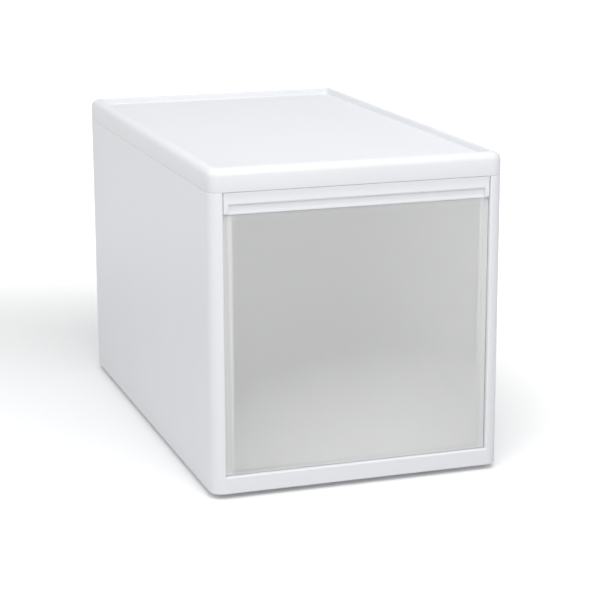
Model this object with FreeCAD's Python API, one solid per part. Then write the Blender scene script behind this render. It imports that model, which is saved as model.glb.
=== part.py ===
"""Stackable drawer box: a white knock-down case with a lid and one frosted drawer.

Millimetres, +Z up. The origin is the middle of the floor face under the case.
The front faces -Y, and +X is to the right of someone who looks at the front.
The case is made of a U-shaped front frame, two side panels, a back, a base and a lid
that slot and snap into each other. The drawer is a frosted tray with a white finger pull.
"""
import FreeCAD
import Part
import math
import os

Vector = FreeCAD.Vector

# Outside of the case
case_width = 255.0
case_depth = 430.0
case_height = 252.0
lid_height = 19.5
plinth_height = 4.5

# Walls and fits that all pieces share
case_wall = 2.2
rib_wall = 1.5
fit_gap = 0.3
overrun = 2.0
same_place = 0.001

# Front frame
stile_width = 12.0
sill_height = 14.6
front_corner_radius = 10.5
frame_land = 0.5
opening_edge_round = 1.2
foot_edge_bevel = 0.8
seam_edge_bevel = 0.5
collar_depth = 20.0
frame_web_pitch = 40.0
sill_tongue_length = 5.0

# Tongues of the side panels in the frame, with the teeth that hold them
tongue_wall = 1.8
tongue_length = 5.0
joggle_length = 8.0
tooth_length = 18.0
tooth_rise = 0.8
tooth_width = 2.4
tooth_pitch = 70.0

# Side panels
back_corner_radius = 7.5
return_width = 14.0
ledge_width = 8.0
base_rib_cover = 3.0
wall_rib_depth = 2.5
wall_rib_pitch = 62.0
groove_rib_width = 10.0
shelf_wall = 1.8
shelf_overlap = 2.4
shelf_gusset = 7.5

# Back panel
back_edge_wall = 2.0
back_rib_pitch = 38.0
bumper_length = 8.0
bumper_radius = 5.0
bumper_spacing = 150.0

# Base panel
plinth_inset = 11.8
plinth_wall = 3.0
plinth_corner_radius = 8.0
base_rib_pitch = 58.0
runner_spacing = 170.0
runner_foot_width = 7.0
runner_top_width = 3.5
runner_round = 1.2
runner_rise = 1.7
side_guide_height = 6.0
side_play = 1.2

# Lid
roll_radius = 7.0
rim_width = 8.5
rim_edge_round = 1.4
panel_recess = 6.0
panel_corner_radius = 5.0
panel_foot_bevel = 1.2
panel_wall = 2.4
seam_groove = 0.9
lid_rib_depth = 5.0
lid_rib_pitch = 64.0
skirt_depth = 5.0
skirt_rise = 4.0
skirt_wall = 2.0
hook_width = 14.0
hook_depth = 12.0
hook_wall = 2.0
hook_set_in = 1.2
barb_rise = 1.0
barb_height = 3.0
catch_rib_depth = 1.2
catch_rib_drop = 6.5
hook_count = 3

# Drawer tray
panel_setback = 3.5
front_gap = 0.5
front_wall = 2.5
front_panel_round = 0.6
tray_wall = 2.2
tray_lap = 2.2
tray_draft_step = 2.0
tray_corner_radius = 5.0
tray_front_fillet = 3.0
tray_floor_fillet = 4.0
tray_foot_fillet = 3.0
rim_bead_height = 6.0
rim_bead_bevel = 0.8
ear_width = 11.0
ear_height = 7.0
ear_round = 2.5
riser_height = 13.0
riser_wall = 2.0

# Finger pull
pull_gap = 0.5
pull_height = 18.1
pull_wall = 2.0
pull_end_wall = 4.2
pull_end_gap = 0.3
pull_top_setback = 1.4
pull_top_round = 0.8
pull_knee_round = 3.0
nose_setback = 0.3
nose_drop = 7.8
nose_length = 2.6
nose_round = 1.1
slot_height = 5.7
groove_depth = 5.0
groove_rise = 1.5
groove_round = 1.4
lip_reach = 0.4
lip_round = 0.6
pull_lower_round = 2.8
pull_inner_round = 1.4
pull_rib_pitch = 38.0
pull_tooth_length = 14.0
pull_tooth_count = 4

# Drawer stops
drawer_travel = 300.0
stop_length = 14.0
stop_plate_wall = 2.5
stop_block_width = 11.0
stop_block_clearance = 0.8
stop_reach_clearance = 0.5
peg_width = 6.0
peg_head_rise = 0.6
peg_head_height = 2.5
peg_set_in = 6.3
shelf_gap = 1.0

# Places that follow from the sizes
left = -case_width / 2
right = case_width / 2
front = -case_depth / 2
back = case_depth / 2
edge_z = plinth_height
seam_z = edge_z + case_height
top_z = seam_z + lid_height
sill_z = edge_z + sill_height
opening_half = case_width / 2 - stile_width
joint_y = front + front_corner_radius + frame_land
collar_y = front + collar_depth
inner_left = left + case_wall
ledge_z = edge_z + case_wall
floor_z = sill_z - case_wall - fit_gap
panel_start_y = joint_y + joggle_length + fit_gap
back_plate_y = back - case_wall - fit_gap
back_inner_y = back_plate_y - back_edge_wall
base_back_y = back_inner_y - fit_gap
slot_in_half = case_width / 2 - case_wall - fit_gap
inner_corner_radius = back_corner_radius - case_wall

# Places of the drawer
panel_y = front + panel_setback
panel_half = opening_half - front_gap
panel_foot_z = sill_z + front_gap
runner_top_z = sill_z + runner_rise
tray_foot_z = runner_top_z + fit_gap
pull_top_z = seam_z - pull_gap
pull_foot_z = pull_top_z - pull_height
pull_nose_y = front + nose_setback
pull_back_y = pull_nose_y + groove_depth + pull_wall
rim_z = pull_foot_z - fit_gap
tray_back_y = back_inner_y - bumper_length - fit_gap - tray_lap
tray_top_half = panel_half - tray_lap
tray_foot_half = tray_top_half - tray_draft_step
shelf_z = rim_z + shelf_gap
shelf_half = panel_half - shelf_overlap
ear_outer_half = tray_top_half - tray_corner_radius
stop_back_y = tray_back_y - tray_wall - drawer_travel - stop_reach_clearance


def plan(height):
    """Places flat points (x, y) at a height."""
    return lambda u, v: Vector(u, v, height)


def cross_section(x):
    """Places flat points (y, z) in the upright plane at x."""
    return lambda u, v: Vector(x, u, v)


def front_section(y):
    """Places flat points (x, z) in the upright plane at y."""
    return lambda u, v: Vector(u, y, v)


def outline(corners, place):
    """A closed wire through corners (u, v, radius), each rounded with an arc."""
    count = len(corners)
    ends = []
    for i in range(count):
        corner = Vector(corners[i][0], corners[i][1], 0)
        before = Vector(corners[i - 1][0], corners[i - 1][1], 0) - corner
        after = Vector(corners[(i + 1) % count][0], corners[(i + 1) % count][1], 0) - corner
        before.normalize()
        after.normalize()
        radius = corners[i][2]
        half_angle = before.getAngle(after) / 2
        reach = radius / math.tan(half_angle)
        middle_way = before + after
        if radius > 0:
            middle_way.normalize()
        middle = corner + middle_way * (radius / math.sin(half_angle) - radius)
        ends.append((corner + before * reach, middle, corner + after * reach, radius))
    edges = []
    for i in range(count):
        start, middle, end, radius = ends[i]
        if radius > 0:
            edges.append(Part.Arc(place(start.x, start.y), place(middle.x, middle.y), place(end.x, end.y)).toShape())
        following = ends[(i + 1) % count][0]
        if (following - end).Length > same_place:
            edges.append(Part.LineSegment(place(end.x, end.y), place(following.x, following.y)).toShape())
    return Part.Wire(edges)


def prism(corners, place, direction):
    """A solid with the given rounded outline, drawn out along a direction."""
    return Part.Face(outline(corners, place)).extrude(direction)


def upright(corners, low, high):
    """A solid with a plan outline, from one height to another."""
    return prism(corners, plan(low), Vector(0, 0, high - low))


def box(x0, x1, y0, y1, z0, z1):
    """A box between two corners."""
    return Part.makeBox(x1 - x0, y1 - y0, z1 - z0, Vector(x0, y0, z0))


def mirrored(shape):
    """The same shape on the other side of the middle."""
    return shape.mirror(Vector(0, 0, 0), Vector(1, 0, 0))


def join(shapes):
    """One solid from shapes that touch or cross."""
    return shapes[0].multiFuse(shapes[1:]).removeSplitter()


def steps(low, high, pitch):
    """Evenly spaced places between two ends, about one pitch apart, with none on the ends."""
    count = max(1, round((high - low) / pitch) - 1)
    return [low + (high - low) * (i + 1) / (count + 1) for i in range(count)]


def edges_of(shape, chosen):
    """The edges whose middle point passes a test."""
    return [edge for edge in shape.Edges if chosen(edge.CenterOfMass, edge.BoundBox)]


def flat_at(z):
    """A test for edges that lie flat at a height."""
    return lambda middle, bound: abs(bound.ZMin - z) < same_place and abs(bound.ZMax - z) < same_place


def case_outline(inset, start_y, front_radius, back_radius):
    """Plan outline of the case, set in by a distance, from a front line to the back."""
    return [
        (left + inset, start_y, front_radius),
        (right - inset, start_y, front_radius),
        (right - inset, back - inset, back_radius),
        (left + inset, back - inset, back_radius),
    ]


def stile_outline(inset, start_y):
    """Plan outline of the frame's round-cornered front, set in by a distance, open to the back."""
    radius = front_corner_radius - inset
    return [
        (left + inset, start_y, 0),
        (left + inset, front + inset, radius),
        (right - inset, front + inset, radius),
        (right - inset, start_y, 0),
    ]


def stile_strip(near, far, start_y, end_y, low, high):
    """A strip that follows the inside of the left stile's round skin, between two insets."""
    strip = upright(stile_outline(near, end_y + overrun), low, high)
    strip = strip.cut(upright(stile_outline(far, end_y + 2 * overrun), low, high))
    return strip.common(box(left, left + stile_width, start_y, end_y, low, high))


def frame_tooth_heights():
    """Heights of the teeth that hold a side panel in the front frame."""
    return steps(edge_z, seam_z, tooth_pitch)


def frame_pocket():
    """The hollow behind the skin of the front frame."""
    hollow = upright(stile_outline(case_wall, joint_y + overrun), ledge_z, seam_z - case_wall)
    jamb_half = opening_half + case_wall
    return hollow.cut(box(-jamb_half, jamb_half, front, joint_y + overrun, sill_z - case_wall, seam_z))


def front_frame():
    """U-shaped frame: two round-cornered stiles and a sill, hollow behind, with a collar."""
    body = upright(stile_outline(0, joint_y), edge_z, seam_z)
    foot = edges_of(body, lambda m, b: flat_at(edge_z)(m, b) and m.y < joint_y - same_place)
    body = body.makeChamfer(foot_edge_bevel, foot)
    seam = edges_of(body, lambda m, b: flat_at(seam_z)(m, b) and m.y < joint_y - same_place)
    body = body.makeChamfer(seam_edge_bevel, seam)
    body = body.cut(box(-opening_half, opening_half, front - overrun, joint_y + overrun, sill_z, seam_z + overrun))
    pocket = frame_pocket()
    body = body.cut(pocket)

    jamb_half = opening_half + case_wall
    collar = box(-jamb_half, jamb_half, joint_y, collar_y, sill_z - case_wall, seam_z)
    collar = collar.cut(box(-opening_half, opening_half, joint_y, collar_y, sill_z, seam_z))

    tongue_space = stile_strip(
        0, case_wall + tongue_wall + 2 * fit_gap,
        joint_y - tongue_length - fit_gap, joint_y + overrun, edge_z, seam_z)
    sill_space = box(
        -jamb_half - fit_gap, jamb_half + fit_gap, joint_y - sill_tongue_length - fit_gap, joint_y + overrun,
        floor_z - case_wall - fit_gap, sill_z)
    webs = []
    for z in steps(edge_z, seam_z, frame_web_pitch):
        web = box(left, -opening_half, front, joint_y, z - rib_wall / 2, z + rib_wall / 2)
        webs += [web, mirrored(web)]
    for x in steps(-opening_half, opening_half, frame_web_pitch):
        webs.append(box(x - rib_wall / 2, x + rib_wall / 2, front, joint_y, edge_z, sill_z))
    webs = pocket.common(Part.makeCompound(webs))
    webs = webs.cut(Part.makeCompound([tongue_space, mirrored(tongue_space), sill_space]))

    teeth = []
    tooth_y = joint_y - tongue_length / 2
    for z in frame_tooth_heights():
        corners = [
            (inner_left - fit_gap, tooth_y - tooth_width / 2, 0),
            (inner_left, tooth_y - tooth_width / 2, 0),
            (inner_left + tooth_rise, tooth_y - tooth_width / 4, 0),
            (inner_left, tooth_y + tooth_width / 2, 0),
            (inner_left - fit_gap, tooth_y + tooth_width / 2, 0),
        ]
        tooth = upright(corners, z - tooth_length / 2, z + tooth_length / 2)
        teeth += [tooth, mirrored(tooth)]
    body = join([body, collar] + webs.Solids + teeth)
    inner = edges_of(body, lambda m, b: (
        abs(b.YMin - front) < same_place and abs(b.YMax - front) < same_place
        and m.z > sill_z - same_place and abs(m.x) < opening_half + same_place
        and m.z < seam_z - same_place))
    return body.makeFillet(opening_edge_round, inner)


def hook_places():
    """Places along the depth of the lid's hooks and of the ribs that catch them."""
    start = panel_start_y + hook_width
    end = base_back_y - 2 * hook_width
    return [start + (end - start) * i / (hook_count - 1) for i in range(hook_count)]


def side_panel():
    """Left side wall with its rear corner, groove ribs, drawer shelf, ribs and front tongue."""
    corners = [
        (left, joint_y, 0),
        (left, back, back_corner_radius),
        (left + return_width, back, 0),
        (left + return_width, back - case_wall, 0),
        (inner_left, back - case_wall, inner_corner_radius),
        (inner_left, joint_y, 0),
    ]
    body = upright(corners, edge_z, seam_z)
    foot = edges_of(body, lambda m, b: flat_at(edge_z)(m, b) and (
        m.x < left + same_place or m.y > back - same_place
        or (m.x < inner_left and m.y > back - back_corner_radius)))
    body = body.makeChamfer(foot_edge_bevel, foot)
    seam = edges_of(body, lambda m, b: flat_at(seam_z)(m, b) and (
        m.x < left + same_place or m.y > back - same_place
        or (m.x < inner_left and m.y > back - inner_corner_radius)))
    body = body.makeChamfer(seam_edge_bevel, seam)

    shelf_top_z = shelf_z + shelf_wall
    rib_back_y = base_back_y - rib_wall
    rib_foot_z = floor_z + fit_gap
    pieces = [body]
    pieces.append(box(
        inner_left, inner_left + ledge_width, joint_y, back - case_wall, edge_z, ledge_z))
    pieces.append(box(
        inner_left, inner_left + base_rib_cover, panel_start_y, base_back_y, rib_foot_z, rib_foot_z + rib_wall))
    pieces.append(box(
        inner_left, inner_left + groove_rib_width, rib_back_y, base_back_y,
        rib_foot_z, seam_z - skirt_depth - fit_gap))
    pieces.append(box(
        inner_left, -shelf_half, collar_y + fit_gap, rib_back_y, shelf_z, shelf_top_z))
    for y in steps(panel_start_y, rib_back_y, wall_rib_pitch):
        pieces.append(box(
            inner_left, inner_left + wall_rib_depth, y - rib_wall / 2, y + rib_wall / 2, rib_foot_z, shelf_z))
        gusset = [
            (inner_left, shelf_z, 0),
            (inner_left + shelf_gusset, shelf_z, 0),
            (inner_left, shelf_z - shelf_gusset, 0),
        ]
        pieces.append(prism(gusset, front_section(y - rib_wall / 2), Vector(0, rib_wall, 0)))
    for y in hook_places():
        pieces.append(box(
            inner_left, inner_left + catch_rib_depth, y - hook_width / 2, y + hook_width / 2,
            seam_z - catch_rib_drop - rib_wall, seam_z - catch_rib_drop))

    tongue_low = ledge_z + fit_gap
    tongue_high = seam_z - case_wall - fit_gap
    tongue_x = inner_left + fit_gap
    pieces.append(box(
        inner_left, tongue_x + tongue_wall, joint_y, joint_y + joggle_length, tongue_low, tongue_high))
    tongue = stile_strip(
        case_wall + fit_gap, case_wall + fit_gap + tongue_wall,
        joint_y - tongue_length, joint_y, tongue_low, tongue_high)
    tooth_y = joint_y - tongue_length / 2
    for z in frame_tooth_heights():
        tongue = tongue.cut(box(
            left, left + stile_width,
            tooth_y - tooth_width / 2 - fit_gap, tooth_y + tooth_width / 2 + fit_gap,
            z - tooth_length / 2 - fit_gap, z + tooth_length / 2 + fit_gap))
    pieces.append(tongue)
    body = join(pieces)

    peg_x = inner_left + peg_set_in
    peg_y = stop_back_y - stop_length / 2
    peg_room = peg_width / 2 + fit_gap
    hole = box(
        peg_x - peg_room, peg_x + peg_room, peg_y - peg_room, peg_y + peg_room,
        shelf_z - overrun, shelf_top_z + overrun)
    return body.cut(hole)


def back_panel():
    """Rear wall: a thin pan whose edges slot behind the side panels' returns."""
    field_half = case_width / 2 - return_width - fit_gap
    pan_top = seam_z - fit_gap
    pan = box(-field_half, field_half, back_inner_y, back, edge_z, pan_top)
    outer_edges = edges_of(pan, lambda m, b: m.y > back - same_place and b.ZMax - b.ZMin > case_wall)
    pan = pan.makeFillet(opening_edge_round, outer_edges)
    edge_half = slot_in_half - inner_corner_radius
    edge_plate = box(-edge_half, edge_half, back_inner_y, back_plate_y, ledge_z, pan_top)
    hollow = box(
        -field_half + case_wall, field_half - case_wall, back_inner_y - overrun, back - case_wall,
        edge_z + case_wall, pan_top - case_wall)
    body = pan.fuse(edge_plate).cut(hollow)
    ribs = []
    for x in steps(-field_half, field_half, back_rib_pitch):
        ribs.append(box(x - rib_wall / 2, x + rib_wall / 2, back_inner_y, back - case_wall, edge_z, pan_top))
    for z in steps(edge_z, pan_top, 2 * back_rib_pitch):
        ribs.append(box(-field_half, field_half, back_inner_y, back - case_wall, z - rib_wall / 2, z + rib_wall / 2))
    ribs = hollow.common(Part.makeCompound(ribs))
    bumper_z = rim_z - rim_bead_height / 2
    bumper = Part.makeCylinder(
        bumper_radius, bumper_length + back - case_wall - back_inner_y,
        Vector(-bumper_spacing / 2, back - case_wall, bumper_z), Vector(0, -1, 0))
    return join([body] + ribs.Solids + [bumper, mirrored(bumper)])


def slotted_in(inset, start_y, low, high):
    """A plan block that fits between the side panels and the back, set in by a distance."""
    radius = inner_corner_radius - inset
    half = slot_in_half - inset
    return upright([
        (-half, start_y, 0),
        (half, start_y, 0),
        (half, base_back_y - inset, radius),
        (-half, base_back_y - inset, radius),
    ], low, high)


def base_panel():
    """Floor with a flange, a plinth ring, a rib grid, two runners and two side guides."""
    floor_under_z = floor_z - case_wall
    jamb_half = opening_half + case_wall
    plate = slotted_in(0, panel_start_y, floor_under_z, floor_z)
    sill_tongue = box(
        -jamb_half, jamb_half, joint_y - sill_tongue_length, panel_start_y, floor_under_z, floor_z)
    flange = slotted_in(0, panel_start_y, ledge_z, floor_under_z)
    flange = flange.cut(slotted_in(case_wall, panel_start_y + case_wall, ledge_z, floor_under_z))

    plinth_half = case_width / 2 - plinth_inset
    plinth_front = front + plinth_inset
    plinth_back = back - plinth_inset

    def ring(inset, radius, low, high):
        """A plan block with the outline of the plinth, set in by a distance."""
        return upright([
            (-plinth_half + inset, plinth_front + inset, radius),
            (plinth_half - inset, plinth_front + inset, radius),
            (plinth_half - inset, plinth_back - inset, radius),
            (-plinth_half + inset, plinth_back - inset, radius),
        ], low, high)

    plinth = ring(0, plinth_corner_radius, 0, floor_under_z)
    inside = ring(plinth_wall, plinth_corner_radius - plinth_wall, 0, floor_under_z)
    ribs = []
    for y in steps(plinth_front, plinth_back, base_rib_pitch):
        ribs.append(box(-plinth_half, plinth_half, y - rib_wall / 2, y + rib_wall / 2, ledge_z, floor_under_z))
    for x in steps(-plinth_half, plinth_half, base_rib_pitch):
        ribs.append(box(x - rib_wall / 2, x + rib_wall / 2, plinth_front, plinth_back, ledge_z, floor_under_z))
    ribs = inside.common(Part.makeCompound(ribs))

    runner_x = -runner_spacing / 2
    runner_start = collar_y + fit_gap
    runner_corners = [
        (runner_x - runner_foot_width / 2, floor_z, 0),
        (runner_x - runner_top_width / 2, runner_top_z, runner_round),
        (runner_x + runner_top_width / 2, runner_top_z, runner_round),
        (runner_x + runner_foot_width / 2, floor_z, 0),
    ]
    runner = prism(
        runner_corners, front_section(runner_start), Vector(0, base_back_y - runner_foot_width - runner_start, 0))
    guide_x = -(tray_foot_half + side_play + rib_wall)
    guide = box(
        guide_x, guide_x + rib_wall, runner_start, base_back_y - runner_foot_width,
        floor_z, floor_z + side_guide_height)
    return join([plate, sill_tongue, flange, plinth.cut(inside)] + ribs.Solids + [
        runner, mirrored(runner), guide, mirrored(guide)])


def top_lid():
    """Lid with a rolled rim, a sunk panel, ribs, a locating skirt and snap hooks."""
    panel_z = top_z - panel_recess
    panel_under_z = panel_z - panel_wall
    shell = upright(case_outline(0, front, front_corner_radius, back_corner_radius), seam_z, top_z)
    shell = shell.makeFillet(roll_radius, edges_of(shell, flat_at(top_z)))

    recess_corners = case_outline(rim_width, front + rim_width, panel_corner_radius, panel_corner_radius)
    recess = upright(recess_corners, panel_z, top_z + overrun)
    recess = recess.makeChamfer(panel_foot_bevel, edges_of(recess, flat_at(panel_z)))
    shell = shell.cut(recess)
    rim_edges = edges_of(shell, lambda m, b: (
        flat_at(top_z)(m, b) and abs(m.x) < right - rim_width + same_place
        and abs(m.y) < back - rim_width + same_place))
    shell = shell.makeFillet(rim_edge_round, rim_edges)

    inner_corners = case_outline(
        case_wall, front + case_wall, front_corner_radius - case_wall, back_corner_radius - case_wall)
    hollow = upright(inner_corners, seam_z - overrun, top_z - case_wall)
    hollow = hollow.makeFillet(roll_radius - case_wall, edges_of(hollow, flat_at(top_z - case_wall)))
    core_inset = rim_width - panel_wall
    core = upright(
        case_outline(core_inset, front + core_inset, panel_corner_radius, panel_corner_radius),
        panel_under_z, top_z)
    shell = shell.cut(hollow.cut(core))

    groove = upright(
        case_outline(-overrun, front - overrun, front_corner_radius, back_corner_radius),
        seam_z - overrun, seam_z + seam_groove)
    groove = groove.cut(upright(
        case_outline(
            seam_groove, front + seam_groove,
            front_corner_radius - seam_groove, back_corner_radius - seam_groove),
        seam_z - overrun, seam_z + seam_groove))
    shell = shell.cut(groove)

    rib_half = case_width / 2 - rim_width
    rib_z = panel_under_z - lid_rib_depth
    pieces = [shell]
    for y in steps(front + rim_width, back - rim_width, lid_rib_pitch):
        pieces.append(box(-rib_half, rib_half, y - rib_wall / 2, y + rib_wall / 2, rib_z, panel_under_z))
    for x in steps(-rib_half, rib_half, lid_rib_pitch):
        pieces.append(box(
            x - rib_wall / 2, x + rib_wall / 2, front + rim_width, back - rim_width, rib_z, panel_under_z))

    skirt_low = seam_z - skirt_depth
    skirt_high = seam_z + skirt_rise
    skirt_back = base_back_y
    skirt = slotted_in(0, panel_start_y, skirt_low, skirt_high)
    skirt = skirt.cut(slotted_in(skirt_wall, panel_start_y - overrun, skirt_low, skirt_high))
    side_fill = box(
        inner_left - fit_gap, -slot_in_half + skirt_wall, panel_start_y, skirt_back - back_corner_radius,
        seam_z + seam_groove, skirt_high)
    rear_plate_half = slot_in_half - back_corner_radius
    rear_plate = box(
        -rear_plate_half, rear_plate_half, skirt_back - skirt_wall, back - case_wall + fit_gap,
        seam_z + seam_groove, seam_z + seam_groove + skirt_wall)
    pieces += [skirt, side_fill, mirrored(side_fill), rear_plate]
    for y in hook_places():
        hook_x = -slot_in_half + hook_set_in
        hook_z = seam_z - hook_depth
        barb_top_z = seam_z - catch_rib_drop - rib_wall - fit_gap
        corners = [
            (hook_x, skirt_high, 0),
            (hook_x, barb_top_z, 0),
            (hook_x - barb_rise, barb_top_z, 0),
            (hook_x - barb_rise / 4, barb_top_z - barb_height, 0),
            (hook_x, hook_z, 0),
            (hook_x + hook_wall, hook_z, 0),
            (hook_x + hook_wall, skirt_high, 0),
        ]
        hook = prism(
            corners, front_section(y - hook_width / 2 + fit_gap), Vector(0, hook_width - 2 * fit_gap, 0))
        pieces += [hook, mirrored(hook)]
    return join(pieces)


def drafted_block(inset, front_y, low, corner_radius, foot_round):
    """The tray's body: upright at the front, drafted at the sides and back, with rounded rear corners."""
    top_half = tray_top_half - inset
    foot_half = tray_foot_half - inset
    top_back = tray_back_y - inset
    foot_back = top_back - tray_draft_step
    across = prism([
        (-foot_half, low, 0),
        (foot_half, low, 0),
        (top_half, rim_z, 0),
        (-top_half, rim_z, 0),
    ], front_section(front_y), Vector(0, top_back - front_y, 0))
    along = prism([
        (front_y, low, 0),
        (foot_back, low, 0),
        (top_back, rim_z, 0),
        (front_y, rim_z, 0),
    ], cross_section(-top_half), Vector(2 * top_half, 0, 0))
    block = across.common(along)
    rear = edges_of(block, lambda m, b: m.y > foot_back - same_place and b.ZMax - b.ZMin > corner_radius)
    block = block.makeFillet(corner_radius, rear)
    return block.makeFillet(foot_round, edges_of(block, lambda m, b: (
        flat_at(low)(m, b) and m.y > front_y + same_place)))


def drawer_tray():
    """Frosted tray: drafted walls, a wider front panel, a rim bead, a step for the pull and ears."""
    inner_front_y = panel_y + front_wall
    floor_top_z = tray_foot_z + tray_wall
    outer = drafted_block(0, panel_y, tray_foot_z, tray_corner_radius, tray_foot_fillet)
    inner = drafted_block(
        tray_wall, inner_front_y, floor_top_z, tray_corner_radius - tray_wall, tray_floor_fillet - tray_wall)
    inner = inner.makeFillet(tray_front_fillet, edges_of(inner, lambda m, b: (
        abs(m.y - inner_front_y) < same_place and b.ZMax - b.ZMin > tray_front_fillet)))

    bead_half = tray_top_half + tray_lap
    bead = upright([
        (-bead_half, inner_front_y, 0),
        (bead_half, inner_front_y, 0),
        (bead_half, tray_back_y + tray_lap, tray_corner_radius + tray_lap),
        (-bead_half, tray_back_y + tray_lap, tray_corner_radius + tray_lap),
    ], rim_z - rim_bead_height, rim_z)
    bead = bead.makeChamfer(rim_bead_bevel, edges_of(bead, lambda m, b: (
        (flat_at(rim_z)(m, b) or flat_at(rim_z - rim_bead_height)(m, b)) and m.y > inner_front_y + front_wall)))

    front_panel = box(
        -panel_half, panel_half, panel_y, panel_y + front_wall, panel_foot_z, rim_z)
    rounded = edges_of(front_panel, lambda m, b: (
        m.y < panel_y + same_place and m.z < rim_z - same_place))
    front_panel = front_panel.makeFillet(front_panel_round, rounded)

    riser_y = pull_back_y + fit_gap
    shelf = box(
        -tray_top_half, tray_top_half, inner_front_y, riser_y + riser_wall, rim_z - riser_wall, rim_z)
    riser = box(
        -tray_top_half, tray_top_half, riser_y, riser_y + riser_wall, rim_z - riser_wall, rim_z + riser_height)
    riser = riser.makeFillet(riser_wall, edges_of(riser, lambda m, b: (
        m.z > rim_z + riser_height / 2 and abs(m.x) > tray_top_half - same_place and b.YMax - b.YMin > same_place)))
    tooth_z = pull_foot_z + riser_height / 2
    for x in pull_tooth_places():
        riser = riser.cut(box(
            x - pull_tooth_length / 2 - fit_gap, x + pull_tooth_length / 2 + fit_gap,
            riser_y - overrun, riser_y + riser_wall + overrun,
            tooth_z - tooth_width / 2 - fit_gap, tooth_z + tooth_width / 2 + fit_gap))

    ear_corners = [
        (-ear_outer_half, rim_z - rim_bead_height / 2, 0),
        (-ear_outer_half, rim_z + ear_height, ear_round),
        (-ear_outer_half + ear_width, rim_z + ear_height, ear_round),
        (-ear_outer_half + ear_width, rim_z - rim_bead_height / 2, 0),
    ]
    ear = prism(ear_corners, front_section(tray_back_y - tray_wall), Vector(0, tray_wall, 0))
    body = join([outer, bead]).cut(inner)
    return join([body, front_panel, shelf, riser, ear, mirrored(ear)])


def pull_tooth_places():
    """Places across the width of the teeth that hold the finger pull."""
    return steps(-panel_half, panel_half, 2 * panel_half / (pull_tooth_count + 1))


def pull_rail():
    """Finger pull: a leaning front skin, a groove below it, a thin lip, closed ends and a cored back."""
    half = panel_half - pull_end_gap
    nose_z = pull_top_z - nose_drop
    skin_top_y = pull_nose_y + pull_top_setback
    groove_y = pull_nose_y + groove_depth
    lip_y = panel_y - lip_reach
    slot_top_z = nose_z - nose_length
    slot_foot_z = slot_top_z - slot_height
    section = [
        (skin_top_y, pull_top_z, pull_top_round),
        (pull_nose_y, nose_z, pull_knee_round),
        (pull_nose_y, slot_top_z, nose_round),
        (groove_y, slot_top_z + groove_rise, groove_round),
        (groove_y, slot_foot_z, pull_inner_round),
        (lip_y, slot_foot_z, lip_round),
        (lip_y, pull_foot_z, lip_round),
        (pull_back_y, pull_foot_z, 0),
        (pull_back_y, pull_top_z, 0),
    ]
    end_section = [
        (skin_top_y, pull_top_z, pull_top_round),
        (pull_nose_y, nose_z, pull_knee_round),
        (pull_nose_y, pull_foot_z, pull_lower_round),
        (pull_back_y, pull_foot_z, 0),
        (pull_back_y, pull_top_z, 0),
    ]
    end_x = half - pull_end_wall
    body = prism(section, cross_section(-end_x), Vector(2 * end_x, 0, 0))
    end = prism(end_section, cross_section(-half), Vector(pull_end_wall, 0, 0))

    core_section = [
        (pull_nose_y + pull_wall, slot_top_z + groove_rise + pull_wall, 0),
        (skin_top_y + pull_wall, pull_top_z - pull_wall, 0),
        (pull_back_y + overrun, pull_top_z - pull_wall, 0),
        (pull_back_y + overrun, slot_top_z + groove_rise + pull_wall, 0),
    ]
    core = prism(core_section, cross_section(-end_x), Vector(2 * end_x, 0, 0))
    for x in steps(-end_x, end_x, pull_rib_pitch):
        core = core.cut(box(
            x - rib_wall / 2, x + rib_wall / 2, pull_nose_y, pull_back_y + 2 * overrun, pull_foot_z, pull_top_z))
    body = body.cut(core)

    tooth_z = pull_foot_z + riser_height / 2
    teeth = []
    for x in pull_tooth_places():
        corners = [
            (pull_back_y - fit_gap, tooth_z - tooth_width / 2, 0),
            (pull_back_y, tooth_z - tooth_width / 2, 0),
            (pull_back_y + tooth_rise, tooth_z + tooth_width / 4, 0),
            (pull_back_y, tooth_z + tooth_width / 2, 0),
            (pull_back_y - fit_gap, tooth_z + tooth_width / 2, 0),
        ]
        teeth.append(prism(
            corners, cross_section(x - pull_tooth_length / 2), Vector(pull_tooth_length, 0, 0)))
    return join([body, end, mirrored(end)] + teeth)


def drawer_stop():
    """Left stop: a plate on the shelf with a peg through it and a block that meets the tray's ear."""
    plate_z = shelf_z + shelf_wall
    plate_x = inner_left + wall_rib_depth
    front_y = stop_back_y - stop_length
    block_outer = -shelf_half + fit_gap
    block_inner = block_outer + stop_block_width
    corners = [
        (plate_x, plate_z, 0),
        (block_outer, plate_z, 0),
        (block_outer, rim_z + stop_block_clearance, 0),
        (block_inner, rim_z + stop_block_clearance, stop_block_clearance),
        (block_inner, plate_z + stop_plate_wall, stop_plate_wall),
        (plate_x, plate_z + stop_plate_wall, 0),
    ]
    plate = prism(corners, front_section(front_y), Vector(0, stop_length, 0))
    peg_x = inner_left + peg_set_in
    peg_y = stop_back_y - stop_length / 2
    peg_half = peg_width / 2
    barb_z = plate_z - shelf_wall - fit_gap
    foot_z = barb_z - peg_head_height
    peg_corners = [
        (peg_y - peg_half, plate_z, 0),
        (peg_y - peg_half, barb_z, 0),
        (peg_y - peg_half - peg_head_rise, barb_z, 0),
        (peg_y - peg_half + peg_head_rise, foot_z, 0),
        (peg_y + peg_half - peg_head_rise, foot_z, 0),
        (peg_y + peg_half + peg_head_rise, barb_z, 0),
        (peg_y + peg_half, barb_z, 0),
        (peg_y + peg_half, plate_z, 0),
    ]
    peg = prism(peg_corners, cross_section(peg_x - peg_half), Vector(peg_width, 0, 0))
    return join([plate, peg])


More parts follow.
